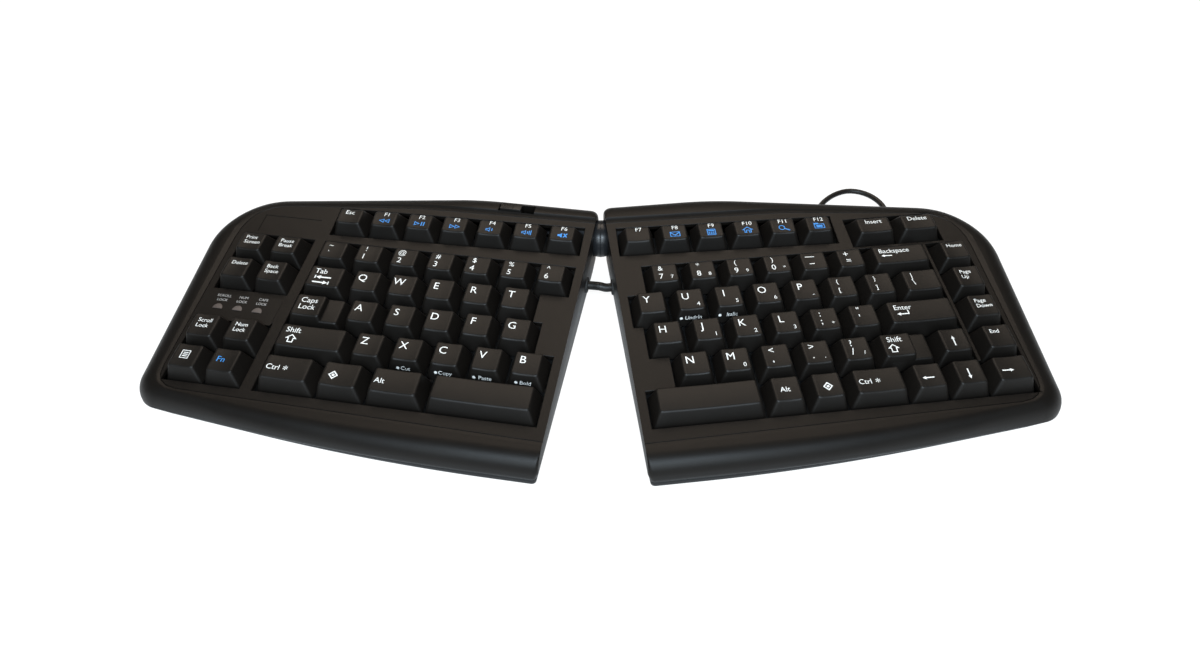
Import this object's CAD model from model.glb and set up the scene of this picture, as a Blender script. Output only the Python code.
from math import radians, sin, cos, tan, pi, atan, atan2, acos
import bpy
import bmesh
from mathutils import Vector, Matrix


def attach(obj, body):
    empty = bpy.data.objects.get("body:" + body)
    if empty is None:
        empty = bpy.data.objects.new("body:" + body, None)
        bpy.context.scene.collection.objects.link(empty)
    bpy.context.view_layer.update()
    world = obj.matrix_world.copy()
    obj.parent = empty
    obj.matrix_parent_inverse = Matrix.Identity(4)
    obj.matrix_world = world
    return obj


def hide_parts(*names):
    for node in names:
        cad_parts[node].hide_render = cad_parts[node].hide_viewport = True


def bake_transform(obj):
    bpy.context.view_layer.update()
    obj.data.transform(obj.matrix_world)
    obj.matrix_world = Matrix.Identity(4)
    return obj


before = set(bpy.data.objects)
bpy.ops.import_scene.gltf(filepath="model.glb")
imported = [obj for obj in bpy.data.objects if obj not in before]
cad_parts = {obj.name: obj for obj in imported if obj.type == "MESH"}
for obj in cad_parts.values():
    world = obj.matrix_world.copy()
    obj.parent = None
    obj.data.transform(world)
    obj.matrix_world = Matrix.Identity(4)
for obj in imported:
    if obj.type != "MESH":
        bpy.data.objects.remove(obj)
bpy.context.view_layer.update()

# Camera: a wide lens just right of the middle, looking down at the key decks from the typist's side.
view = bpy.data.cameras.new("view")
view.sensor_width = 36.0
view.lens = 26.273
view.clip_start = 0.01
view_object = bpy.data.objects.new("view", view)
view_object.matrix_world = (Matrix.Translation((0.0095067, -0.3170634, 0.3188635))
                            @ Matrix.Rotation(radians(1.5516), 4, "Z")
                            @ Matrix.Rotation(radians(46.2672), 4, "X")
                            @ Matrix.Rotation(radians(-0.2865), 4, "Z"))
bpy.context.collection.objects.link(view_object)
bpy.context.scene.camera = view_object

# Frames: each half is turned about the ball, and its key deck slopes up to the back.
# u runs outward from the ball plane, y and s run back, all in millimetres.
SPLAY = radians(8.2)
SLOPE = radians(7.5)
PIVOT_Y, PIVOT_Z = 58.4, 23
ROW_Y, DECK_Z = 45.4, 29.65
TO_METRES = Matrix.Scale(0.001, 4)


def half_frame(side):
    return Matrix.Translation((0, PIVOT_Y, 0)) @ Matrix.Rotation(side * SPLAY, 4, "Z")


def deck_frame(side):
    return half_frame(side) @ Matrix.Translation((0, -ROW_Y, DECK_Z)) @ Matrix.Rotation(SLOPE, 4, "X")


def on_half(side, u, y, z):
    return half_frame(side) @ Vector((side * u, y, z)) * 0.001


def on_deck(side, u, s, z):
    return deck_frame(side) @ Vector((side * u, s, z)) * 0.001


def piece(name, bm, material, body, replaced=(), angle=35):
    """Turns a bmesh in metres into a smooth-shaded piece that rides on a body."""
    mesh = bpy.data.meshes.new(name)
    bm.to_mesh(mesh)
    bm.free()
    obj = bpy.data.objects.new(name, mesh)
    bpy.context.collection.objects.link(obj)
    for m in material if isinstance(material, (list, tuple)) else [material]:
        mesh.materials.append(m)
    mesh.shade_smooth()
    mesh.set_sharp_from_angle(angle=radians(angle))
    if body:
        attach(obj, body)
    if replaced:
        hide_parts(*replaced)
    return obj


def skin(bm, rings, closed=True, caps=True):
    """Joins rings of equal length with quads, and closes the two ends."""
    rows = [[bm.verts.new(p) for p in ring] for ring in rings]
    n = len(rows[0])
    for a, b in zip(rows, rows[1:]):
        for i in range(n if closed else n - 1):
            j = (i + 1) % n
            bm.faces.new((a[i], a[j], b[j], b[i]))
    if caps:
        bm.faces.new(list(reversed(rows[0])))
        bm.faces.new(rows[-1])
    return rows


def round_edges(bm, edges, offset, segments, clamp=False):
    bmesh.ops.bevel(bm, geom=edges, offset=offset, segments=segments, affect="EDGES", profile=0.5,
                    material=-1, clamp_overlap=clamp)


def slice_at(bm, co, no, clear=False):
    """Cuts all of a bmesh at a plane, and drops what lies past the plane if asked."""
    bmesh.ops.bisect_plane(bm, geom=bm.verts[:] + bm.edges[:] + bm.faces[:], plane_co=co, plane_no=no,
                           clear_outer=clear)


def put(bm, matrix):
    """Takes a bmesh in millimetres through a matrix and into metres."""
    bmesh.ops.transform(bm, verts=bm.verts, matrix=TO_METRES @ matrix)
    return bm


# Plastics and rubber: moulded black plastic with a fine spark-eroded grain and a faint drift
# of colour and gloss; grain and drift come from one shared node group.
grain = bpy.data.node_groups.new("moulded_grain", "ShaderNodeTree")
for name, way, kind in (("Scale", "INPUT", "Float"), ("Strength", "INPUT", "Float"),
                        ("Normal", "OUTPUT", "Vector"), ("Drift", "OUTPUT", "Float")):
    grain.interface.new_socket(name=name, in_out=way, socket_type="NodeSocket" + kind)
g_in = grain.nodes.new("NodeGroupInput")
g_out = grain.nodes.new("NodeGroupOutput")
g_place = grain.nodes.new("ShaderNodeTexCoord")
g_fine = grain.nodes.new("ShaderNodeTexNoise")
g_fine.inputs["Detail"].default_value = 3.0
g_fine.inputs["Roughness"].default_value = 0.65
g_wide = grain.nodes.new("ShaderNodeTexNoise")
g_wide.inputs["Scale"].default_value = 34.0
g_wide.inputs["Detail"].default_value = 4.0
g_bump = grain.nodes.new("ShaderNodeBump")
g_bump.inputs["Distance"].default_value = 0.0001
for a, out, b, into in ((g_place, "Object", g_fine, "Vector"), (g_place, "Object", g_wide, "Vector"),
                        (g_in, "Scale", g_fine, "Scale"), (g_in, "Strength", g_bump, "Strength"),
                        (g_fine, "Fac", g_bump, "Height"), (g_bump, "Normal", g_out, "Normal"),
                        (g_wide, "Fac", g_out, "Drift")):
    grain.links.new(a.outputs[out], b.inputs[into])


def moulded(name, dark, pale, rough, scale, strength, specular=0.5):
    """Moulded plastic or rubber: two close colours, a roughness, and grain."""
    m = bpy.data.materials.new(name)
    m.use_nodes = True
    nodes, links = m.node_tree.nodes, m.node_tree.links
    shader = nodes["Principled BSDF"]
    g = nodes.new("ShaderNodeGroup")
    g.node_tree = grain
    g.inputs["Scale"].default_value = scale
    g.inputs["Strength"].default_value = strength
    tint = nodes.new("ShaderNodeValToRGB")
    tint.color_ramp.elements[0].position = 0.3
    tint.color_ramp.elements[1].position = 0.7
    tint.color_ramp.elements[0].color = (*dark, 1)
    tint.color_ramp.elements[1].color = (*pale, 1)
    gloss = nodes.new("ShaderNodeMapRange")
    gloss.inputs["To Min"].default_value = rough - 0.05
    gloss.inputs["To Max"].default_value = rough + 0.05
    links.new(g.outputs["Drift"], tint.inputs["Fac"])
    links.new(g.outputs["Drift"], gloss.inputs["Value"])
    links.new(tint.outputs["Color"], shader.inputs["Base Color"])
    links.new(gloss.outputs["Result"], shader.inputs["Roughness"])
    links.new(g.outputs["Normal"], shader.inputs["Normal"])
    shader.inputs["Specular IOR Level"].default_value = specular
    return m


def metal(name, colour, rough):
    """Plated or bare steel with a slight unevenness."""
    m = moulded(name, tuple(0.88 * c for c in colour), colour, rough, 1200.0, 0.12)
    m.node_tree.nodes["Principled BSDF"].inputs["Metallic"].default_value = 1.0
    return m


case_black = moulded("case_black", (0.0034, 0.0027, 0.0022), (0.0047, 0.0038, 0.0031), 0.43, 2600.0, 0.45, 0.15)
key_black = moulded("key_black", (0.0042, 0.0034, 0.0028), (0.0057, 0.0046, 0.0037), 0.46, 3200.0, 0.35, 0.2)
tray_black = moulded("tray_black", (0.0045, 0.0045, 0.0046), (0.0062, 0.0062, 0.0062), 0.55, 2200.0, 0.5, 0.2)
cord_black = moulded("cord_black", (0.0060, 0.0054, 0.0048), (0.0085, 0.0076, 0.0068), 0.42, 1500.0, 0.15, 0.25)
rubber_black = moulded("rubber_black", (0.0080, 0.0080, 0.0082), (0.0110, 0.0110, 0.0110), 0.7, 1800.0, 0.4)

# Supply cord: a thin round cable out of the right half's back wall, one loose bend over the desk,
# then folded into a tied hank close behind the case, ending in its plug.
CORD_D = 3.1
BACK_TURN = atan(22.97 / 145.6)
gland_y = 12.1 - (128 - 62) * tan(BACK_TURN)
gland_way = Vector((sin(BACK_TURN), cos(BACK_TURN), 0))
gland_face = Vector((128, gland_y, 10)) + 10 * gland_way
FOLD = 3 * CORD_D
HANK_PITCH, HANK_RUN, HANK_RISE = 3.7, 62.0, 3.5
hank_frame = Matrix.Translation((77.1, 29.8, 0)) @ Matrix.Rotation(-BACK_TURN, 4, "Z")


def hank_track(r, f):
    arc = pi * r
    d = f * 2 * (HANK_RUN + arc)
    if d < HANK_RUN:
        return Vector((HANK_RUN / 2 - d, -r, 0))
    if d < HANK_RUN + arc:
        return Vector((-HANK_RUN / 2 - r * sin((d - HANK_RUN) / r), -r * cos((d - HANK_RUN) / r), 0))
    if d < 2 * HANK_RUN + arc:
        return Vector((d - HANK_RUN - arc - HANK_RUN / 2, r, 0))
    e = (d - 2 * HANK_RUN - arc) / r
    return Vector((HANK_RUN / 2 + r * sin(e), r * cos(e), 0))


def hank_point(t):
    layer = max(0, min(1, 2 * (t - 2))) + max(0, (t - 4) / 0.21 + 1)
    inward = HANK_PITCH * min(t, 2) - 3.5 * max(0, t - 2.5)
    p = hank_track(FOLD + 2 * HANK_PITCH - inward, t % 1)
    return p + Vector((0, 0, CORD_D / 2 + 0.8 + HANK_RISE * layer))


def smooth_path(points, steps):
    """Catmull-Rom curve through the points."""
    out = []
    for i in range(len(points) - 1):
        a, b, c, d = (points[max(i - 1, 0)], points[i], points[i + 1], points[min(i + 2, len(points) - 1)])
        for k in range(steps):
            t = k / steps
            out.append(0.5 * (2 * b + (c - a) * t + (2 * a - 5 * b + 4 * c - d) * t * t
                              + (3 * b - a - 3 * c + d) * t * t * t))
    return out + [points[-1]]


cord_z = CORD_D / 2 + 0.1
hank_turns = [hank_point(i / 24) for i in range(4 * 24 + 1)]
hank_end = hank_turns[-1]
lift = 10.9 - hank_end.z
hank_turns += [hank_end + Vector((-back, 3.2 * part, lift * up))
               for back, part, up in ((5, 0.1, 0.06), (10, 0.35, 0.35), (15, 0.75, 0.8), (21, 1, 1))]
hank_turns = [hank_frame @ p for p in hank_turns]
hank_way = -Vector((cos(BACK_TURN), -sin(BACK_TURN), 0))
route = [gland_face + 4 * gland_way] + [Vector(p) for p in (
    (131, 22, 9), (133, 31, 6), (137, 39, cord_z), (143, 46, cord_z), (151, 52, cord_z),
    (160, 55, cord_z), (168, 53, cord_z), (174, 47, cord_z), (177, 38, cord_z), (176, 28, cord_z),
    (170, 20, cord_z), (160, 15.5, cord_z), (149, 12.6, cord_z), (138, 10.4, cord_z),
    (128, 8.4, cord_z), (120, 7.2, 1.8))] + [hank_turns[0] - 8 * hank_way, hank_turns[0] - 4 * hank_way]
cord_points = [gland_face] + smooth_path(route, 3) + hank_turns
cord_path = [on_half(1, *p) for p in cord_points]


def tube(path, radius, sides):
    """Round tube swept along a path, closed at both ends."""
    bm = bmesh.new()
    rings = []
    for i, p in enumerate(path):
        way = (path[min(i + 1, len(path) - 1)] - path[max(i - 1, 0)]).normalized()
        across = way.cross(Vector((0, 0, 1))).normalized()
        up = across.cross(way)
        rings.append([p + radius * (across * cos(2 * pi * k / sides) + up * sin(2 * pi * k / sides))
                      for k in range(sides)])
    skin(bm, rings)
    bmesh.ops.recalc_face_normals(bm, faces=bm.faces)
    return bm


def softened(node, edge, segments=3):
    """Copy of a CAD piece with its sharp edges rounded by so many millimetres."""
    bm = bmesh.new()
    bm.from_mesh(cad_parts[node].data)
    bmesh.ops.remove_doubles(bm, verts=bm.verts, dist=1e-6)
    bmesh.ops.dissolve_limit(bm, angle_limit=radians(0.5), verts=bm.verts, edges=bm.edges)
    sharp = [e for e in bm.edges if len(e.link_faces) == 2 and e.calc_face_angle(0) > radians(40)]
    round_edges(bm, sharp, edge / 1000, segments, True)
    return bm


plug_steel = metal("plug_steel", (0.62, 0.63, 0.65), 0.28)
plug_body = piece("plug_body", softened("usb_plug_body", 1.4, 4), cord_black, "right_half",
                  ("usb_plug_body",))
plug_shell = piece("plug_shell", softened("usb_plug_shell", 0.15), plug_steel, "right_half",
                   ("usb_plug_shell",))
hank_tie = piece("hank_tie", softened("cable_tie", 0.3), rubber_black, "right_half", ("cable_tie",))
supply_cord = piece("supply_cord", tube(cord_path, CORD_D / 2000, 14), cord_black, "right_half",
                    ("usb_cable", "usb_cable_hank"))

# Link cable: a short thick lead that carries the left half's keys to the right half, drooping
# between two grommets; each end follows its own half and the middle follows the ball.
LINK_D = 4.6
LINK_AT = {-1: (-29, 14.2), 1: (-30, 13.8)}


def link_point(side, u, rise=0.0):
    y, z = LINK_AT[side]
    return on_half(side, u, y, z + rise)


link_route = [link_point(-1, 12), link_point(-1, 7.5), link_point(-1, 2), link_point(-1, -1, 0.1),
              Vector((0, PIVOT_Y - 29.6, 14.6)) * 0.001,
              link_point(1, -1, 0.1), link_point(1, 2), link_point(1, 7.5), link_point(1, 12)]
link_path = smooth_path(link_route, 6)
middle = len(link_path) // 2
link_left = piece("link_cable_left", tube(link_path[:middle + 1], LINK_D / 2000, 20), cord_black, None,
                  ("link_cable",))
link_right = piece("link_cable_right", tube(link_path[middle:], LINK_D / 2000, 20), cord_black, None,
                   ())
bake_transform(link_left)
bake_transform(link_right)

# Case: each half is a black moulded shell with a rolled edge all round its outer sides, a flat
# panel set lower than the rim, and openings for the keys; a shallow tray closes it below.
CASE_CORNERS = [Vector(c) for c in ((2.5, -150.3), (100, -150.3), (200.5, -138.6),
                                    (207.6, -10.87), (62, 12.1), (2.5, 12.1))]
CORNER_STEPS = (4, 26, 16, 26, 12, 14)
TUCK = {"floor": (1, 3.5, 5, 3, 3, 1.7), "low": (0, 0, 0, 0, 0, 0.7),
        "wall": (0,) * 6, "top": (9.1, 6.5, 12, 12, 12, 0)}
RADII = {"floor": (2, 950, 16, 38, 200, 14), "low": (2, 950, 14, 38, 200, 12),
         "wall": (2, 950, 14, 38, 200, 5), "top": (1, 950, 9, 28, 190, 3)}
ROLL_H = (8, 8, 11, 12, 12, 12)
SHELL = 2.2


def outline(level, extra=0.0):
    """Rounded plan outline of the case at one level, each edge tucked in by its own amount."""
    tuck, radii, points = TUCK[level], RADII[level], []
    for i, p in enumerate(CASE_CORNERS):
        before, after = p - CASE_CORNERS[i - 1], CASE_CORNERS[(i + 1) % 6] - p
        m = Vector((-before.y, before.x)).normalized()
        n = Vector((-after.y, after.x)).normalized()
        j, k, c = tuck[i - 1] + extra, tuck[i] + extra, m.dot(n)
        det = 1 - c * c
        q = p + m * j if det < 1e-6 else p + m * ((j - k * c) / det) + n * ((k - j * c) / det)
        r = max(0.4, radii[i] - extra)
        o = q + (m + n) * r / (1 + c)
        start, turn = atan2(-m.y, -m.x), acos(min(1, c))
        for step in range(CORNER_STEPS[i] + 1):
            a = start + turn * step / CORNER_STEPS[i]
            points.append(o + r * Vector((cos(a), sin(a))))
    return points


def panel_z(y):
    return DECK_Z + (y + ROW_Y) * tan(SLOPE)


def between(a, b, t):
    return [p.lerp(q, t) for p, q in zip(a, b)]


def level_ring(side, points, z):
    return [on_half(side, p.x, p.y, z) for p in points]


def case_wall(side, extra, heights):
    """Rings of the wall at given heights between the floor and the widest line."""
    rings = []
    for z, inset in heights:
        low, wide = outline("floor", extra + inset), outline("low", extra + inset)
        rings.append(level_ring(side, between(low, wide, (z - 1) / 6), z))
    return rings


def ramp(value, start, end):
    return max(0, min(1, (value - start) / (end - start)))


def fullness(side, p):
    """How far the roll swells out at a plan place: most at the back, and on the right half."""
    return ramp(p.y, -60, -20) * (3.6 if side > 0 else 1.2 + 2.2 * ramp(p.x, 50, 100))


def case_roll(side, extra):
    """Rings from the widest line up over the roll to the rim, or to the panel's underside."""
    low, wall, top = outline("low", extra), outline("wall", extra), outline("top", extra)
    roll = [ROLL_H[i] for i in range(6) for _ in range(CORNER_STEPS[i] + 1)]
    peak = [panel_z(p.y) - extra if extra else panel_z(p.y) + 0.3 + 0.9 * (p.y + 138) / 136 for p in top]
    full = [fullness(side, p) for p in top]
    out = [(w - t).normalized() if f else Vector((0, 0)) for w, t, f in zip(wall, top, full)]
    rings = [level_ring(side, low, 7)]
    middle_ring = between(low, wall, 0.5)
    rings.append([on_half(side, p.x, p.y, (7 + z - h) / 2) for p, z, h in zip(middle_ring, peak, roll)])
    for step in range(13):
        a = radians(7.5 * step)
        rings.append([on_half(side, *(q + o * f * sin(2 * a)), z - h * (1 - sin(a)) + 0.2 * f * sin(2 * a))
                      for q, z, h, f, o in zip(between(wall, top, 1 - cos(a)), peak, roll, full, out)])
    return rings


def solid(rings):
    bm = bmesh.new()
    skin(bm, rings)
    bmesh.ops.recalc_face_normals(bm, faces=bm.faces)
    if bm.calc_volume(signed=True) < 0:
        bmesh.ops.reverse_faces(bm, faces=bm.faces)
    return bm


def carve(target, cutters):
    """Cuts closed bmesh cutters out of an object, one after another."""
    for bm in cutters:
        mesh = bpy.data.meshes.new("cutter")
        bm.to_mesh(mesh)
        bm.free()
        cutter = bpy.data.objects.new("cutter", mesh)
        bpy.context.collection.objects.link(cutter)
        cut = target.modifiers.new("cut", "BOOLEAN")
        cut.operation = "DIFFERENCE"
        cut.solver = "MANIFOLD"
        cut.object = cutter
        bpy.context.view_layer.update()
        result = bpy.data.meshes.new_from_object(target.evaluated_get(bpy.context.evaluated_depsgraph_get()))
        target.modifiers.clear()
        old, target.data = target.data, result
        bpy.data.meshes.remove(old)
        bpy.data.objects.remove(cutter)
        bpy.data.meshes.remove(mesh)


def deck_prism(side, levels):
    """Solid through plan polygons on the deck, given as (height, points) from low to high."""
    return solid([[on_deck(side, u, s, z) for u, s in points] for z, points in levels])


def leaned(u, s):
    """Place on the function row, which comes forward to its outer end."""
    return (MARGIN + (u - MARGIN) * cos(ROW_LEAN) + (s - FUNCTION_S) * sin(ROW_LEAN),
            FUNCTION_S - (u - MARGIN) * sin(ROW_LEAN) + (s - FUNCTION_S) * cos(ROW_LEAN))


def grown(box, d):
    u0, u1, s0, s1 = box
    return [(u0 - d, s0 - d), (u1 + d, s0 - d), (u1 + d, s1 + d), (u0 - d, s1 + d)]


PITCH = 19.05
MARGIN = 7.5
HALF = PITCH / 2
LEFT_END = MARGIN + 7 * PITCH
RIGHT_END = MARGIN + 8.25 * PITCH
SIDE_IN = 157.3 - HALF
PAGE_IN = 177 - HALF
FUNCTION_S = 28.5
EDIT_IN, EDIT_S = 129.4, 21.8
ROW_LEAN = radians(1.5)


def row_box(u0, u1, s, s_low=None):
    return (u0, u1, (s if s_low is None else s_low) - HALF, s + HALF)


OPENINGS = {
    -1: [row_box(MARGIN, LEFT_END, FUNCTION_S), row_box(MARGIN, LEFT_END, 0),
         row_box(MARGIN + 0.75 * PITCH, LEFT_END, -PITCH), row_box(MARGIN + 0.5 * PITCH, LEFT_END, -2 * PITCH),
         row_box(MARGIN, LEFT_END, -3 * PITCH, -4 * PITCH),
         row_box(SIDE_IN, SIDE_IN + 2 * PITCH, 0, -PITCH),
         row_box(SIDE_IN, SIDE_IN + 2 * PITCH, -3 * PITCH, -4 * PITCH)],
    1: [row_box(MARGIN, MARGIN + 6 * PITCH, FUNCTION_S), row_box(EDIT_IN, EDIT_IN + 2.5 * PITCH, EDIT_S),
        row_box(MARGIN + 0.5 * PITCH, RIGHT_END, 0), row_box(MARGIN, RIGHT_END, -PITCH),
        row_box(MARGIN + 0.25 * PITCH, RIGHT_END, -2 * PITCH),
        row_box(MARGIN + 0.75 * PITCH, RIGHT_END, -3 * PITCH),
        row_box(MARGIN, PAGE_IN + PITCH, -4 * PITCH), row_box(PAGE_IN, PAGE_IN + PITCH, 0, -3 * PITCH)]}
PANEL = [(-30, -94.6), (177, -91.2), (182, -90.2), (186, -87.8), (188.4, -84), (189.2, -79), (191.4, 6),
         (191, 13), (189.6, 19), (187.4, 24), (184, 28), (179, 31.2), (172, 33.5), (99, 41.5), (7.5, 43.6),
         (-30, 43.6)]
PANEL_STEP = ((0, -0.6), (0.12, 0.1), (0.4, 1.0), (0.9, 2.0), (2.0, 3.4), (8, 5.0))
OPENING_STEP = ((-9, 0.5), (-0.5, 0.5), (-0.15, 0.6), (0.15, 1.0), (1.2, 2.0))
LIGHT_AT = [(157.9 + 10.4 * i, -42) for i in range(3)]


def spread(d):
    """Corners of the panel with its edges moved out by so much."""
    out = []
    for i, p in enumerate(PANEL):
        a, b, c = (Vector(PANEL[i - 1]), Vector(p), Vector(PANEL[(i + 1) % len(PANEL)]))
        m = Vector(((b - a).y, -(b - a).x)).normalized()
        n = Vector(((c - b).y, -(c - b).x)).normalized()
        out.append(tuple(b + (m + n) * d / (1 + m.dot(n))))
    return out


def panel_cutter(side):
    """Flat panel set into the rim, with a draughted step round it."""
    return deck_prism(side, [(z, spread(d)) for z, d in PANEL_STEP])


def line_cutter(side):
    """Fine groove along the foot of the step."""
    bm = bmesh.new()
    rings = []
    inner, outer = spread(-0.95), spread(-0.5)
    n = len(inner)
    for i in range(n):
        a, b = inner[i], outer[i]
        bottom = on_deck(side, (a[0] + b[0]) / 2, (a[1] + b[1]) / 2, -0.4)
        rings.append([on_deck(side, *a, 0.4), on_deck(side, *a, -0.15), bottom,
                      on_deck(side, *b, -0.15), on_deck(side, *b, 0.4)])
    rows = [[bm.verts.new(p) for p in ring] for ring in rings]
    for i in range(n):
        a, b = rows[i], rows[(i + 1) % n]
        for k in range(5):
            bm.faces.new((a[k], a[(k + 1) % 5], b[(k + 1) % 5], b[k]))
    bmesh.ops.recalc_face_normals(bm, faces=bm.faces)
    return bm


def ball_cutter():
    bm = bmesh.new()
    bmesh.ops.create_uvsphere(bm, u_segments=64, v_segments=32, radius=0.0106,
                              matrix=Matrix.Translation((0, PIVOT_Y / 1000, PIVOT_Z / 1000)))
    return bm


def drill(start, end, radius, sides=40):
    """Straight round cutter between two points."""
    way = (end - start).normalized()
    bm = bmesh.new()
    turn = way.to_track_quat("Z", "Y").to_matrix().to_4x4()
    bmesh.ops.create_cone(bm, cap_ends=True, segments=sides, radius1=radius, radius2=radius,
                          depth=(end - start).length, matrix=Matrix.Translation((start + end) / 2) @ turn)
    return bm


for side, word in ((-1, "left"), (1, "right")):
    body = word + "_half"
    tray_rings = case_wall(side, 0, ((1.0, 0.8), (1.25, 0.25), (1.7, 0.0), (4.5, 0.0), (4.8, 0.12), (5.0, 0.4)))
    tray = piece(word + "_tray", solid(tray_rings), tray_black, body, (word + "_base",))
    carve(tray, [solid(case_wall(side, SHELL, ((3.5, 0), (6.0, 0))))])
    tray.data.set_sharp_from_angle(angle=radians(35))
    cover_rings = case_wall(side, 0, ((5.0, 0.4), (5.2, 0.12), (5.5, 0.0))) + case_roll(side, 0)
    cover = piece(word + "_cover", solid(cover_rings), case_black, body, (word + "_top_cover",))
    hollow = solid(case_wall(side, SHELL, ((2.0, 0),)) + case_roll(side, SHELL))
    cutters = [panel_cutter(side), hollow, line_cutter(side), ball_cutter(),
               drill(link_point(side, -2), link_point(side, 12), 0.0042)]
    for i, box in enumerate(OPENINGS[side]):
        cutters.append(deck_prism(side, [(z, [leaned(*p) if i == 0 else p for p in grown(box, d)])
                                         for z, d in OPENING_STEP]))
    if side < 0:
        slot = ((36.2, -1.4), (56, -1.4), (56, 4.9), (36.2, 4.9))
        cutters.append(solid([[on_half(side, u, y, z) for u, y in slot] for z in (28.5, 45)]))
        cutters.append(deck_prism(side, [(-0.3, [(149, 12.5), (180.5, 12.5), (180.5, 24.5), (149, 24.5)]),
                                         (0.6, [(148.5, 12), (181, 12), (181, 25), (148.5, 25)])]))
        for at in LIGHT_AT:
            cutters.append(drill(on_deck(side, *at, -5), on_deck(side, *at, 3), 0.0022))
    else:
        cutters.append(drill(on_half(1, *(gland_face - 16 * gland_way)), on_half(1, *gland_face), 0.00355))
    carve(cover, cutters)
    cover.data.set_sharp_from_angle(angle=radians(32))

# Keys: low caps with four sloping sides, rounded corners, a softened top edge and a top dished
# from side to side; the stepped lock and shift caps have a lower shelf beside the raised pad.
KEY_TOP = 6.4
KEY_FOOT = -3.1
TAPER = 2.85
DISH = 0.45
CAP_WALL = 1.3
ROOF_SHARE = 0.06
STEM_D = 5.6
STEM_LOW = -4.6
STEM_TOP = 5.0
PAD_LOW = 2.2
SHELF_TOP = 3.2
STEP_SHARE = 0.36
KEY_GAP = 1.05
TOP_EDGES = {"standard": (-6.3, 6.5), "number": (-6.5, 4.9), "function": (-6.1, 4.0), "space": (-5.9, 7.0)}


def cap_top(box, row):
    """Ends of a cap's top face: inner, outer, front and back."""
    front, back = TOP_EDGES[row]
    return (box[0] + KEY_GAP / 2 + TAPER, box[1] - KEY_GAP / 2 - TAPER, box[2] + front, box[2] + back)


def dish_at(u, top):
    x = max(-1.0, min(1.0, (2 * u - top[0] - top[1]) / (top[1] - top[0])))
    return -DISH * (1 - x * x)


def one_cap(base, top, peak, dished, low=KEY_FOOT):
    """Block drawn in to its top, with its corners and top edge rounded and its top dished."""
    bm = bmesh.new()
    bmesh.ops.create_cube(bm, size=2.0)
    for v in bm.verts:
        ends = top if v.co.z > 0 else base
        v.co = Vector((ends[1 if v.co.x > 0 else 0], ends[3 if v.co.y > 0 else 2],
                       peak if v.co.z > 0 else low))
    upright = [e for e in bm.edges if abs(e.verts[0].co.z - e.verts[1].co.z) > 1]
    round_edges(bm, upright, 1.35, 4)
    rim = [e for e in bm.edges if min(v.co.z for v in e.verts) > peak - 0.01]
    round_edges(bm, rim, 0.85, 4)
    if dished:
        for k in range(1, 10):
            at = Vector((top[0] + (top[1] - top[0]) * k / 10, 0, 0))
            slice_at(bm, at, (1, 0, 0))
        for v in bm.verts:
            v.co.z += dish_at(v.co.x, top) * max(0.0, min(1.0, (v.co.z - peak + 2.4) / 1.4))
    return bm


def hollowed(bm, base, top, peak):
    """Takes the inside out of a cap from below, leaving its walls and its top."""
    under = [f for f in bm.faces if max(v.co.z for v in f.verts) < KEY_FOOT + 0.01]
    if len(under) > 1:
        under = bmesh.ops.dissolve_faces(bm, faces=under)["region"]
    bmesh.ops.inset_region(bm, faces=under, thickness=CAP_WALL, use_even_offset=True)
    roof = bmesh.ops.extrude_discrete_faces(bm, faces=under)["faces"][0]
    for v in roof.verts:
        share = ((v.co.x - base[0]) / (base[1] - base[0]), (v.co.y - base[2]) / (base[3] - base[2]))
        ends = [a + (b - a) * ROOF_SHARE for a, b in zip(top, (top[1], top[0], top[3], top[2]))]
        v.co = Vector((ends[0] + (ends[1] - ends[0]) * share[0], ends[2] + (ends[3] - ends[2]) * share[1],
                       peak - CAP_WALL - DISH))
    return bm


def stem_of(box):
    """Round stem under the middle of a cap, which runs in the guide below it."""
    bm = bmesh.new()
    middle = ((box[0] + box[1]) / 2, box[2], (STEM_TOP + STEM_LOW) / 2)
    bmesh.ops.create_cone(bm, cap_ends=True, segments=32, radius1=STEM_D / 2, radius2=STEM_D / 2,
                          depth=STEM_TOP - STEM_LOW, matrix=Matrix.Translation(middle))
    return bm


def lean_matrix(side):
    """Turn of the function row in the deck's plane, as the typist sees it."""
    pivot = Vector((side * MARGIN, FUNCTION_S, 0))
    return Matrix.Translation(pivot) @ Matrix.Rotation(-side * ROW_LEAN, 4, "Z") @ Matrix.Translation(-pivot)


def laid_on_deck(bm, side):
    """Takes a bmesh from deck millimetres, u outward, to its place in metres."""
    put(bm, deck_frame(side) @ Matrix.Diagonal((side, 1, 1, 1)))
    if side < 0:
        bmesh.ops.reverse_faces(bm, faces=bm.faces)
    return bm


def joined(parts):
    """One bmesh out of several."""
    whole = bmesh.new()
    for bm in parts:
        mesh = bpy.data.meshes.new("joined")
        bm.to_mesh(mesh)
        bm.free()
        whole.from_mesh(mesh)
        bpy.data.meshes.remove(mesh)
    return whole


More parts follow.
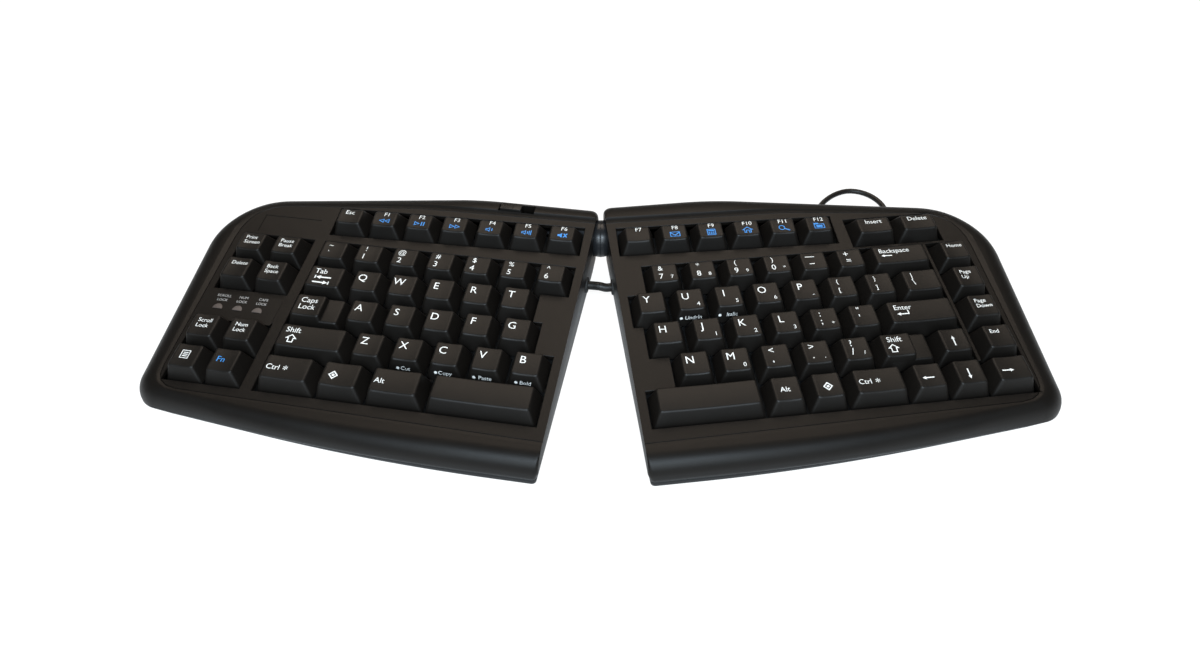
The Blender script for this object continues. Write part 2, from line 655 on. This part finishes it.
def key_parts(box, row, step):
    """Caps of one key; a stepped key is a low full-width cap with a raised pad on it."""
    base = (box[0] + KEY_GAP / 2, box[1] - KEY_GAP / 2, box[2] - 9, box[2] + 9)
    top = cap_top(box, row)
    if not step:
        return [hollowed(one_cap(base, top, KEY_TOP, True), base, top, KEY_TOP), stem_of(box)]
    share = (KEY_TOP - SHELF_TOP) / (KEY_TOP - KEY_FOOT)
    shelf = tuple(a + (b - a) * share for a, b in zip(top, base))
    pad = list(top)
    foot = list(base)
    cut = STEP_SHARE * (base[1] - base[0])
    if step < 0:
        pad[0], foot[0] = base[0] + cut + 0.6, base[0] + cut - 1.2
    else:
        pad[1], foot[1] = base[1] - cut - 0.6, base[1] - cut + 1.2
    pad_share = (KEY_TOP - PAD_LOW) / (KEY_TOP - KEY_FOOT)
    foot = tuple(a + (b - a) * pad_share for a, b in zip(pad, foot))
    low_cap = hollowed(one_cap(base, shelf, SHELF_TOP, False), base, shelf, SHELF_TOP)
    return [low_cap, one_cap(foot, tuple(pad), KEY_TOP, True, PAD_LOW), stem_of(box)]


def run(u, s, widths):
    """Boxes of neighbouring keys from an inner end outward: inner end, outer end, row."""
    boxes = []
    for w in widths:
        boxes.append((u, u + w * PITCH, s))
        u += w * PITCH
    return boxes


UPPER, HOME, LOWER, SPACE = -PITCH, -2 * PITCH, -3 * PITCH, -4 * PITCH


def letters(text, pads=""):
    """Legends of letter keys: a capital at the back left and a small pad figure at the front right."""
    out = []
    for i, c in enumerate(text):
        items = [(c, -2.3, 1.7, 5.8)]
        if i < len(pads) and pads[i] != " ":
            items.append((pads[i], 3.4, -3.4, 3.2))
        out.append(items)
    return out


def pairs(text, pads="", low=-2.2, small=4.2, large=4.8):
    """Legends of two-sign keys, given as upper and lower sign in turn."""
    out = []
    for i in range(0, len(text), 2):
        items = [(text[i], -2.0, 3.0, small), (text[i + 1], -2.2, low, large)]
        if i // 2 < len(pads) and pads[i // 2] != " ":
            items.append((pads[i // 2], 3.2, -2.8, 3.0))
        out.append(items)
    return out


def names(*words):
    """Legends of named keys, one or two short lines at the back left."""
    out = []
    for w in words:
        lines = w.split("|")
        out.append([(line, None, 2.7 - 3.2 * i, 3.2) for i, line in enumerate(lines)])
    return out


def function_names(first, pictures):
    """Legends of function keys: the name at the back and a picture in front of it."""
    return [[("F%d" % (first + i), 0.6, 3.2, 3.6)] + ([("@" + p, 0.2, -1.4, 1.25)] if p else [])
            for i, p in enumerate(pictures)]


def with_front(legends, words):
    """Adds a dot and a word on the front face of some keys."""
    return [items + ([("^" + w, 0.4, 0.0, 3.0)] if w else []) for items, w in zip(legends, words)]


KEYS = {
    "esc_key": (-1, "function", run(LEFT_END - PITCH, FUNCTION_S, [1]), [[("Esc", -0.6, 2.6, 3.9)]]),
    "left_function_keys": (-1, "function", run(MARGIN, FUNCTION_S, [1] * 6),
        function_names(1, ("rewind", "play", "forward", "softer", "louder", "mute"))[::-1]),
    "left_number_keys": (-1, "number", run(MARGIN, 0, [1] * 7), pairs("^6%5$4#3@2!1~`")),
    "left_upper_keys": (-1, "standard", run(MARGIN + 0.75 * PITCH, UPPER, [1] * 5), letters("TREWQ")),
    "tab_key": (-1, "standard", run(LEFT_END - 1.25 * PITCH, UPPER, [1.25]),
        [[("Tab", None, 3.0, 4.2), ("@tab", -1.0, -2.0, 1.4)]]),
    "left_home_keys": (-1, "standard", run(MARGIN + 0.5 * PITCH, HOME, [1] * 5), letters("GFDSA")),
    "caps_lock_key": (-1, "standard", run(LEFT_END - 1.5 * PITCH, HOME, [1.5]),
        [[("Caps", None, 2.9, 4.3), ("Lock", None, -1.3, 4.3)]]),
    "left_lower_keys": (-1, "standard", run(MARGIN, LOWER, [1] * 5),
        with_front(letters("BVCXZ"), ("Bold", "Paste", "Copy", "Cut", ""))),
    "left_shift_key": (-1, "standard", run(LEFT_END - 2 * PITCH, LOWER, [2]),
        [[("Shift", None, 3.0, 4.2), ("@shift", -9.2, -2.0, 1.3)]]),
    "left_space_bar": (-1, "space", run(MARGIN, SPACE, [2.75]), [[]]),
    "left_modifier_keys": (-1, "space", run(MARGIN + 2.75 * PITCH, SPACE, [1.5, 1.25, 1.5]),
        [[("Alt", None, -0.6, 4.0)], [("@system", -3.2, -0.6, 1.1)],
         [("Ctrl", None, -0.4, 4.0), ("*", -0.4, -1.2, 5.6)]]),
    "left_side_upper_keys": (-1, "standard", run(SIDE_IN, 0, [1, 1]) + run(SIDE_IN, UPPER, [1, 1]),
        names("Pause|Break", "Print|Screen", "Back|Space", "Delete")),
    "left_side_lower_keys": (-1, "standard", run(SIDE_IN, LOWER, [1, 1]) + run(SIDE_IN, SPACE, [1, 1]),
        names("Num|Lock", "Scroll|Lock")
        + [[("~Fn", -1.6, 0.2, 4.4)], [("@menu", -0.6, 0.6, 1.1)]]),
    "right_function_keys": (1, "function", run(MARGIN, FUNCTION_S, [1] * 6),
        function_names(7, ("", "mail", "calculator", "home", "search", "folder"))),
    "right_edit_keys": (1, "function", run(EDIT_IN, EDIT_S, [1.25, 1.25]),
        [[("Insert", 0, 2.4, 3.9)], [("Delete", 0, 2.4, 3.9)]]),
    "right_number_keys": (1, "number", run(MARGIN + 0.5 * PITCH, 0, [1] * 6), pairs("&7*8(9)0", "789*")
        + [[("@long_dash", -1.6, 2.8, 1.0), ("@dash", -1.4, -1.8, 1.0)],
         [("+", -1.8, 2.6, 5.4), ("=", -1.4, -1.8, 5.0)]]),
    "backspace_key": (1, "number", run(RIGHT_END - 1.75 * PITCH, 0, [1.75]),
        [[("Backspace", None, 2.4, 3.9), ("@left", -7.4, -0.6, 1.0)]]),
    "right_upper_keys": (1, "standard", run(MARGIN, UPPER, [1] * 7),
        with_front(letters("YUIOP", " 456-") + pairs("{[}]", "", -2.4, 3.5, 3.7),
         ("", "Undrln", "Italic", "", "", "", ""))),
    "backslash_key": (1, "standard", run(RIGHT_END - 1.25 * PITCH, UPPER, [1.25]),
        [[("|", -4.4, 2.9, 4.6), ("\\", -4.4, -1.3, 5.0)]]),
    "right_home_keys": (1, "standard", run(MARGIN + 0.25 * PITCH, HOME, [1] * 6),
        letters("HJKL", " 123") + pairs(":;\"'", "+", -1.6, 5.0, 5.4)),
    "enter_key": (1, "standard", run(RIGHT_END - 2 * PITCH, HOME, [2]),
        [[("Enter", None, 2.4, 4.1), ("@enter", -9.4, -1.4, 1.1)]]),
    "right_lower_keys": (1, "standard", run(MARGIN + 0.75 * PITCH, LOWER, [1] * 5),
        letters("NM", " 0") + pairs("<,>.?/", " ./", -1.8, 5.0, 5.4)),
    "right_shift_key": (1, "standard", run(RIGHT_END - 2.5 * PITCH, LOWER, [1.5]),
        [[("Shift", None, 3.0, 4.2), ("@shift", -2.6, -2.0, 1.3)]]),
    "right_space_bar": (1, "space", run(MARGIN, SPACE, [2.75]), [[]]),
    "right_modifier_keys": (1, "space", run(MARGIN + 2.75 * PITCH, SPACE, [1, 1, 1.5]),
        [[("Alt", -0.8, -0.4, 3.8)], [("@system", -0.2, -0.8, 1.1)],
         [("Ctrl", None, -0.4, 3.8), ("*", -0.6, -1.2, 5.4)]]),
    "arrow_keys": (1, "space", run(RIGHT_END - PITCH, LOWER, [1]) + run(126.56, SPACE, [1, 1])
        + [(RIGHT_END, PAGE_IN + PITCH, SPACE)],
        [[("@up", -0.6, -0.6, 1.0)], [("@left", -1.0, -1.2, 1.0)],
         [("@down", -0.6, -1.0, 1.0)], [("@right", -2.6, -1.2, 1.0)]]),
    "page_keys": (1, "standard", [(PAGE_IN, PAGE_IN + PITCH, s) for s in (0, UPPER, HOME, LOWER)],
        names("Home", "Page|Up", "Page|Down", "End")),
}
STEPPED = {"caps_lock_key": -1, "right_shift_key": 1}


def row_of(node, box):
    """Top profile of a key, by its row."""
    row = KEYS[node][1]
    if row == "function":
        return row
    return "number" if box[2] == 0 else "space" if box[2] == SPACE else "standard"


for node, (side, row, boxes, legends) in KEYS.items():
    caps = [cap for box in boxes for cap in key_parts(box, row_of(node, box), STEPPED.get(node, 0))]
    block = joined(caps)
    if boxes[0][2] == FUNCTION_S:
        flip = Matrix.Diagonal((side, 1, 1, 1))
        bmesh.ops.transform(block, verts=block.verts, matrix=flip @ lean_matrix(side) @ flip)
    piece(node + "_caps", laid_on_deck(block, side), key_black, node, (node,), 30)

# Legends: upright white print on the caps, with blue print for the second functions and small
# slanted words on some front faces; all of it is flat and lies a hair above the cap.
print_white = moulded("print_white", (0.62, 0.62, 0.60), (0.78, 0.78, 0.76), 0.55, 900.0, 0.1)
print_blue = moulded("print_blue", (0.020, 0.190, 0.52), (0.026, 0.235, 0.62), 0.55, 900.0, 0.1)
LEFT_ARROW = [(-2.8, 0), (-1.1, 0.85), (-1.1, 0.28), (2.8, 0.28), (2.8, -0.28), (-1.1, -0.28), (-1.1, -0.85)]


def turned(points, quarter):
    """Points turned by quarter turns."""
    for _ in range(quarter):
        points = [(-y, x) for x, y in points]
    return points


def moved(points, dx, dy):
    return [(x + dx, y + dy) for x, y in points]


def bar(x0, y0, x1, y1):
    return [(x0, y0), (x1, y0), (x1, y1), (x0, y1)]


def disc(x, y, r, n=20):
    return [(x + r * cos(2 * pi * k / n), y + r * sin(2 * pi * k / n)) for k in range(n)]


SPEAKER = [(-1.9, -0.55), (-1.1, -0.55), (-0.1, -1.3), (-0.1, 1.3), (-1.1, 0.55), (-1.9, 0.55)]
PICTURES = {
    "long_dash": [(bar(-2.4, -0.2, 2.4, 0.2), 0)], "dash": [(bar(-1.3, -0.2, 1.3, 0.2), 0)],
    "left": [(LEFT_ARROW, 0)], "down": [(turned(LEFT_ARROW, 1), 0)],
    "right": [(turned(LEFT_ARROW, 2), 0)], "up": [(turned(LEFT_ARROW, 3), 0)],
    "enter": [(LEFT_ARROW, 0), (bar(2.3, 0.28, 2.8, 1.9), 0)],
    "tab": [(moved(LEFT_ARROW, 0.3, 0.9), 0), (bar(-3.0, 0.2, -2.6, 1.6), 0),
            (moved(turned(LEFT_ARROW, 2), -0.3, -1.5), 0), (bar(2.6, -2.2, 3.0, -0.8), 0)],
    "shift": [([(0, 2.0), (-2.2, 0), (-1.1, 0), (-1.1, -1.7), (1.1, -1.7), (1.1, 0), (2.2, 0)], 0.36)],
    "system": [([(0, 2.1), (-2.1, 0), (0, -2.1), (2.1, 0)], 0.5), (disc(0, 0, 0.62), 0)],
    "menu": [(bar(-1.9, -2.1, 1.9, 2.1), 0.32), (bar(-1.1, 0.7, 1.1, 1.1), 0), (bar(-1.1, -0.2, 1.1, 0.2), 0),
             (bar(-1.1, -1.1, 1.1, -0.7), 0)],
    "rewind": [([(-2.4, 0), (-0.1, -1.15), (-0.1, 1.15)], 0.3), ([(-0.1, 0), (2.2, -1.15), (2.2, 1.15)], 0.3)],
    "forward": [([(2.4, 0), (0.1, 1.15), (0.1, -1.15)], 0.3), ([(0.1, 0), (-2.2, 1.15), (-2.2, -1.15)], 0.3)],
    "play": [([(0.2, 0), (-2.2, 1.15), (-2.2, -1.15)], 0.3), (bar(0.7, -1.1, 1.15, 1.1), 0),
             (bar(1.75, -1.1, 2.2, 1.1), 0)],
    "softer": [(SPEAKER, 0.3), (bar(0.6, -0.75, 1.0, 0.75), 0)],
    "louder": [(SPEAKER, 0.3), (bar(0.5, -0.75, 0.85, 0.75), 0), (bar(1.2, -1.05, 1.55, 1.05), 0),
               (bar(1.9, -1.35, 2.25, 1.35), 0)],
    "mute": [(SPEAKER, 0), ([(0.4, -0.9), (0.8, -1.2), (2.2, 0.9), (1.8, 1.2)], 0),
             ([(0.4, 0.9), (1.8, -1.2), (2.2, -0.9), (0.8, 1.2)], 0)],
    "mail": [(bar(-2.1, -1.35, 2.1, 1.35), 0.32),
             ([(-1.9, 1.2), (0, -0.3), (1.9, 1.2), (1.9, 0.7), (0, -0.85), (-1.9, 0.7)], 0)],
    "calculator": [(bar(-1.8, -1.7, 1.8, 1.7), 0.32), (bar(-1.2, 0.5, 1.2, 1.1), 0)]
    + [(bar(-1.2 + 0.9 * i, -1.1 + 0.75 * j, -0.6 + 0.9 * i, -0.65 + 0.75 * j), 0)
       for i in range(3) for j in range(2)],
    "home": [([(0, 1.9), (-2.4, 0), (-1.5, 0), (-1.5, -1.6), (-0.45, -1.6), (-0.45, -0.3), (0.45, -0.3),
               (0.45, -1.6), (1.5, -1.6), (1.5, 0), (2.4, 0)], 0.34)],
    "search": [(disc(-0.7, 0.2, 1.35), 0.36), ([(0.2, -0.6), (0.55, -0.25), (2.5, -1.35), (2.2, -1.75)], 0)],
    "folder": [(bar(-2.2, -1.5, 2.2, 1.1), 0.32), (bar(-2.2, 1.1, -0.2, 1.7), 0),
               (bar(-1.3, -0.8, 1.3, 0.4), 0)]}


def drawn(picture):
    """Flat bmesh of a picture: filled shapes, or outlines of a given width."""
    bm = bmesh.new()
    for points, width in PICTURES[picture]:
        face = bm.faces.new([bm.verts.new((x, y, 0)) for x, y in points])
        face.normal_update()
        if face.normal.z < 0:
            face.normal_flip()
        if width:
            bmesh.ops.inset_region(bm, faces=[face], thickness=width, use_even_offset=True, use_boundary=True)
            bmesh.ops.delete(bm, geom=[face], context="FACES_ONLY")
    return bm


def lettered(text, size, align="CENTER", slant=0.0):
    """Flat bmesh of a line of letters in the built-in font."""
    curve = bpy.data.curves.new("letters", "FONT")
    curve.body = text
    curve.size = size
    curve.shear = slant
    curve.align_x = align
    curve.align_y = "CENTER"
    curve.resolution_u = 3
    holder = bpy.data.objects.new("letters", curve)
    bpy.context.collection.objects.link(holder)
    bpy.context.view_layer.update()
    mesh = bpy.data.meshes.new_from_object(holder.evaluated_get(bpy.context.evaluated_depsgraph_get()))
    bm = bmesh.new()
    bm.from_mesh(mesh)
    bpy.data.objects.remove(holder)
    bpy.data.curves.remove(curve)
    bpy.data.meshes.remove(mesh)
    return bm


def printed(side, box, row, items, stepped):
    """Legends of one key in metres: white parts and blue parts."""
    top = cap_top(box, row)
    if stepped:
        cut = STEP_SHARE * (box[1] - box[0] - KEY_GAP)
        if stepped < 0:
            top = (box[0] + KEY_GAP / 2 + cut + 0.6, *top[1:])
        else:
            top = (top[0], box[1] - KEY_GAP / 2 - cut - 0.6, *top[2:])
    middle_u, middle_s = (top[0] + top[1]) / 2, (top[2] + top[3]) / 2
    sheets = ([], [])
    for what, x, y, size in items:
        kind = what[0] if len(what) > 1 else ""
        blue = row == "function" and kind == "@" or kind == "~"
        if kind == "^":
            bm = lettered(what[1:], size, slant=0.1)
            dot = Matrix.Translation((-0.27 * size * len(what[1:]) - 1.1, 0, 0))
            bmesh.ops.create_circle(bm, cap_ends=True, segments=16, radius=0.75, matrix=dot)
            face_way = Vector((0, top[2] - box[2] + 9, KEY_TOP - KEY_FOOT)).normalized()
            face_out = Vector((0, -face_way.z, face_way.y))
            at = Vector((side * middle_u + x, box[2] - 9, KEY_FOOT)) + face_way * 4.6 + face_out * 0.06
            on_face = Matrix(((1, 0, 0, at.x), (0, face_way.y, face_out.y, at.y),
                              (0, face_way.z, face_out.z, at.z), (0, 0, 0, 1)))
            bmesh.ops.transform(bm, verts=bm.verts, matrix=on_face)
        else:
            start = x is None
            if kind == "@":
                bm = drawn(what[1:])
                bmesh.ops.scale(bm, verts=bm.verts, vec=(size, size, 1))
            else:
                bm = lettered(what[1:] if kind == "~" else what, size, "LEFT" if start else "CENTER")
            x = -(top[1] - top[0]) / 2 + (1.2 if row == "space" else 2.4) if start else x
            bmesh.ops.translate(bm, verts=bm.verts, vec=(side * middle_u + x, middle_s + y, 0))
            for v in bm.verts:
                v.co.z = KEY_TOP + dish_at(side * v.co.x, top) + 0.06
        lean = lean_matrix(side) if box[2] == FUNCTION_S else Matrix.Identity(4)
        sheets[blue].append(put(bm, deck_frame(side) @ lean))
    return sheets


for node, (side, row, boxes, legends) in KEYS.items():
    white, blue = [], []
    for box, items in zip(boxes, legends):
        plain, second = printed(side, box, row_of(node, box), items, STEPPED.get(node, 0))
        white += plain
        blue += second
    if white:
        piece(node + "_print", joined(white), print_white, node, ())
    if blue:
        piece(node + "_blue_print", joined(blue), print_blue, node, ())

# Ball joint: a smooth dark plastic ball held between the two halves' back inner corners; a fine
# moulding line runs round it, and the split seats inside the halves grip it when the lever is down.
ball_gloss = moulded("ball_gloss", (0.0070, 0.0076, 0.0085), (0.0095, 0.0102, 0.0115), 0.3, 700.0, 0.08, 0.3)
ball = bmesh.new()
bmesh.ops.create_uvsphere(ball, u_segments=72, v_segments=40, radius=10.0, matrix=Matrix.Rotation(pi / 2, 4, "Y"))
for x in (-0.5, -0.22, 0.22, 0.5):
    slice_at(ball, (x, 0, 0), (1, 0, 0))
for v in ball.verts:
    v.co *= 1 + 0.010 * max(0.0, 1 - abs(v.co.x) / 0.3)
put(ball, Matrix.Translation((0, PIVOT_Y, PIVOT_Z)))
piece("joint_ball", ball, ball_gloss, "pivot_ball", ("pivot_ball",))

# Lock lever: a dark grey moulded tab that stands out of a slot in the left half's back roll; its
# top is ribbed for the finger, and lifting it slackens the ball's seat.
lever_grey = moulded("lever_grey", (0.0050, 0.0044, 0.0040), (0.0070, 0.0062, 0.0056), 0.42, 1900.0, 0.3,
                     0.25)
lever = softened("lock_lever", 0.45)
ribs = [lever]
for k in range(5):
    rib = bmesh.new()
    bmesh.ops.create_cube(rib, size=1.0, matrix=Matrix.Diagonal((0.7, 4.2, 0.7, 1)))
    round_edges(rib, rib.edges, 0.25, 3)
    for v in rib.verts:
        v.co = on_half(-1, 50.6 + 1.3 * (k - 2) - v.co.x, 1.75 + v.co.y, 37.5 + v.co.z)
    ribs.append(rib)
piece("lever_tab", joined(ribs), lever_grey, "lock_lever", ("lock_lever",))

# Status lights: three smoked half-moon windows under a thin printed strip between the two
# blocks of outer keys, each with its lock's name above it.
window_smoke = moulded("window_smoke", (0.070, 0.056, 0.050), (0.095, 0.078, 0.070), 0.45, 500.0, 0.05, 0.2)
strip_black = moulded("strip_black", (0.0046, 0.0038, 0.0032), (0.0060, 0.0050, 0.0042), 0.42, 1400.0, 0.12,
                      0.14)
print_grey = moulded("print_grey", (0.30, 0.29, 0.28), (0.38, 0.37, 0.36), 0.6, 900.0, 0.1)
strip = bmesh.new()
bmesh.ops.create_cube(strip, size=2.0)
for v in strip.verts:
    v.co = Vector((-168.3 - (20.6 if v.co.x > 0 else -20.6), -40.4 + (8.4 if v.co.y > 0 else -8.4),
                   0.14 if v.co.z > 0 else -0.05))
bmesh.ops.recalc_face_normals(strip, faces=strip.faces)
round_edges(strip, [e for e in strip.edges if abs(e.verts[0].co.z - e.verts[1].co.z) > 0.1], 1.0, 5)
piece("light_strip", put(strip, deck_frame(-1)), strip_black, "left_half", ())
windows, labels = [], []
for i, word in enumerate(("CAPS", "NUM", "SCROLL")):
    at = Vector((-LIGHT_AT[i][0], LIGHT_AT[i][1], 0))
    lens = bmesh.new()
    bmesh.ops.create_uvsphere(lens, u_segments=40, v_segments=20, radius=1.0,
                              matrix=Matrix.Diagonal((2.5, 2.7, 0.4, 1)))
    for co, no in (((0, -0.4, 0), (0, -1, 0)), ((0, 0, -0.3), (0, 0, -1))):
        slice_at(lens, co, no, True)
        bmesh.ops.holes_fill(lens, edges=[e for e in lens.edges if e.is_boundary], sides=0)
    windows.append(put(lens, deck_frame(-1) @ Matrix.Translation(at + Vector((0, 0.3, 0.15)))))
    for k, line in enumerate((word, "LOCK")):
        place = Matrix.Translation(at + Vector((0.4, 8.2 - 2.7 * k, 0.2)))
        labels.append(put(lettered(line, 2.1), deck_frame(-1) @ place))
piece("light_windows", joined(windows), window_smoke, "left_half", ("status_lights",))
piece("light_names", joined(labels), print_grey, "left_half", ())

# Grommets and gland: soft black rings where the link cable enters each half, and a ribbed,
# tapering sleeve that keeps the supply cord from kinking at the right half's back wall.
for word in ("left", "right"):
    piece(word + "_link_grommet", softened(word + "_grommet", 0.35), rubber_black, word + "_half",
          (word + "_grommet",))
sleeve = bmesh.new()
profile = [(-6.4, 1.7), (-6.4, 4.2), (-5.2, 4.4), (-4.9, 3.4), (0.2, 3.4), (0.2, 4.3), (0.6, 4.6),
           (2.0, 4.6), (2.4, 4.3)]
for k in range(5):
    d = 2.6 + 1.45 * k
    profile += [(d, 2.95 - 0.14 * k), (d + 0.85, 2.9 - 0.14 * k),
                (d + 0.95, 2.35 - 0.09 * k), (d + 1.35, 2.35 - 0.09 * k)]
profile += [(9.9, 1.9), (10.0, 1.6)]
spokes = [sleeve.verts.new((r, 0, d)) for d, r in profile]
edges = [sleeve.edges.new(pair) for pair in zip(spokes, spokes[1:])]
bmesh.ops.spin(sleeve, geom=spokes + edges, cent=(0, 0, 0), axis=(0, 0, 1), angle=2 * pi, steps=36,
               use_merge=True)
bmesh.ops.holes_fill(sleeve, edges=[e for e in sleeve.edges if e.is_boundary], sides=0)
bmesh.ops.recalc_face_normals(sleeve, faces=sleeve.faces)
put(sleeve, half_frame(1) @ Matrix.Translation(gland_face - 10 * gland_way)
    @ Matrix.Rotation(-BACK_TURN, 4, "Z") @ Matrix.Rotation(-pi / 2, 4, "X"))
piece("cord_sleeve", sleeve, rubber_black, "right_half", ("cord_gland",), 40)

# Feet and fixings: five soft rubber discs and six steel screws under each half.
for word in ("left", "right"):
    piece(word + "_foot_pads", softened(word + "_feet", 0.3), rubber_black, word + "_half",
          (word + "_feet",))
zinc = metal("zinc_plate", (0.55, 0.56, 0.58), 0.36)
screw_steel = metal("screw_steel", (0.30, 0.30, 0.31), 0.32)
dark_steel = metal("dark_steel", (0.020, 0.020, 0.021), 0.45)
dome_black = moulded("dome_black", (0.0045, 0.0045, 0.0045), (0.0065, 0.0065, 0.0065), 0.72, 900.0, 0.2)
film = moulded("contact_film", (0.42, 0.43, 0.38), (0.52, 0.53, 0.47), 0.3, 300.0, 0.05)
laminate = moulded("green_laminate", (0.010, 0.075, 0.030), (0.014, 0.100, 0.040), 0.35, 1100.0, 0.15)
seat_grey = moulded("seat_grey", (0.020, 0.021, 0.023), (0.028, 0.029, 0.031), 0.45, 1600.0, 0.2)
FINISHES = {zinc: ("left_support_plate", "right_support_plate"),
            screw_steel: ("left_screws", "right_screws"),
            dark_steel: ("lever_bracket", "clamp_rod", "lever_pin"),
            dome_black: ("left_dome_sheet", "right_dome_sheet"), film: ("left_membrane", "right_membrane"),
            laminate: ("controller_board",), seat_grey: ("left_ball_seat", "right_ball_seat")}
for finish, nodes in FINISHES.items():
    for node in nodes:
        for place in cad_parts[node].material_slots:
            place.material = finish

# Studio: a white floor and a white surround for the camera, a weak warm sky, and three soft
# lamps: a warm one behind, and two cool ones in front that catch the rolled front edges.
def worked(tree, operation, first, second):
    """Math node on two values, each an output of another node or a number."""
    node = tree.nodes.new("ShaderNodeMath")
    node.operation = operation
    for place, value in zip(node.inputs, (first, second)):
        if isinstance(value, (int, float)):
            place.default_value = value
        else:
            tree.links.new(value, place)
    return node.outputs["Value"]


def shown_as(tree, share, lit, plain, surface):
    """Shows the plain shader for the given share of a ray and the lit one for the rest."""
    mix = tree.nodes.new("ShaderNodeMixShader")
    tree.links.new(share, mix.inputs["Fac"])
    tree.links.new(lit, mix.inputs[1])
    tree.links.new(plain, mix.inputs[2])
    tree.links.new(mix.outputs["Shader"], surface)


floor_bm = bmesh.new()
bmesh.ops.create_grid(floor_bm, x_segments=1, y_segments=1, size=4.0)
floor_mesh = bpy.data.meshes.new("floor")
floor_bm.to_mesh(floor_mesh)
floor_bm.free()
floor = bpy.data.objects.new("floor", floor_mesh)
bpy.context.collection.objects.link(floor)
white = bpy.data.materials.new("white_sweep")
white.use_nodes = True
tree = white.node_tree
paper = tree.nodes["Principled BSDF"]
paper.inputs["Base Color"].default_value = (0.8, 0.8, 0.8, 1)
paper.inputs["Roughness"].default_value = 0.9
glow = tree.nodes.new("ShaderNodeEmission")
glow.inputs["Strength"].default_value = 1.15
ray = tree.nodes.new("ShaderNodeLightPath").outputs
seen = worked(tree, "MAXIMUM", ray["Is Camera Ray"], worked(tree, "MULTIPLY", ray["Is Glossy Ray"], 0.4))
seen = worked(tree, "MAXIMUM", seen, ray["Is Transmission Ray"])
shown_as(tree, worked(tree, "MULTIPLY", seen, 0.8), paper.outputs["BSDF"], glow.outputs["Emission"],
         tree.nodes["Material Output"].inputs["Surface"])
floor_mesh.materials.append(white)

world = bpy.data.worlds.new("studio")
bpy.context.scene.world = world
world.use_nodes = True
tree = world.node_tree
sky = tree.nodes["Background"]
sky.inputs["Color"].default_value = (1.0, 0.96, 0.90, 1)
sky.inputs["Strength"].default_value = 0.15
surround = tree.nodes.new("ShaderNodeBackground")
surround.inputs["Color"].default_value = (1, 1, 1, 1)
surround.inputs["Strength"].default_value = 1.0
ray = tree.nodes.new("ShaderNodeLightPath").outputs
shown_as(tree, worked(tree, "MAXIMUM", ray["Is Camera Ray"], ray["Is Transmission Ray"]),
         sky.outputs["Background"], surround.outputs["Background"],
         tree.nodes["World Output"].inputs["Surface"])
bpy.context.scene.view_settings.view_transform = "Standard"


def soft_light(name, at, aim, size, power, colour):
    lamp = bpy.data.lights.new(name, "AREA")
    lamp.shape = "RECTANGLE"
    lamp.size, lamp.size_y = size
    lamp.energy = power
    lamp.color = colour
    obj = bpy.data.objects.new(name, lamp)
    obj.location = at
    obj.rotation_euler = (Vector(aim) - Vector(at)).to_track_quat("-Z", "Y").to_euler()
    bpy.context.collection.objects.link(obj)


soft_light("back_soft", (0.0, 0.8, 1.2), (0, 0, 0), (1.4, 0.8), 13.5, (1.0, 0.84, 0.69))
soft_light("front_soft", (0.0, -1.2, 0.6), (0, -0.05, 0.02), (1.3, 0.6), 16.0, (0.80, 0.92, 1.0))
soft_light("over_soft", (0.0, -0.75, 0.85), (0, -0.1, 0), (0.7, 0.25), 16.0, (0.74, 0.88, 1.0))
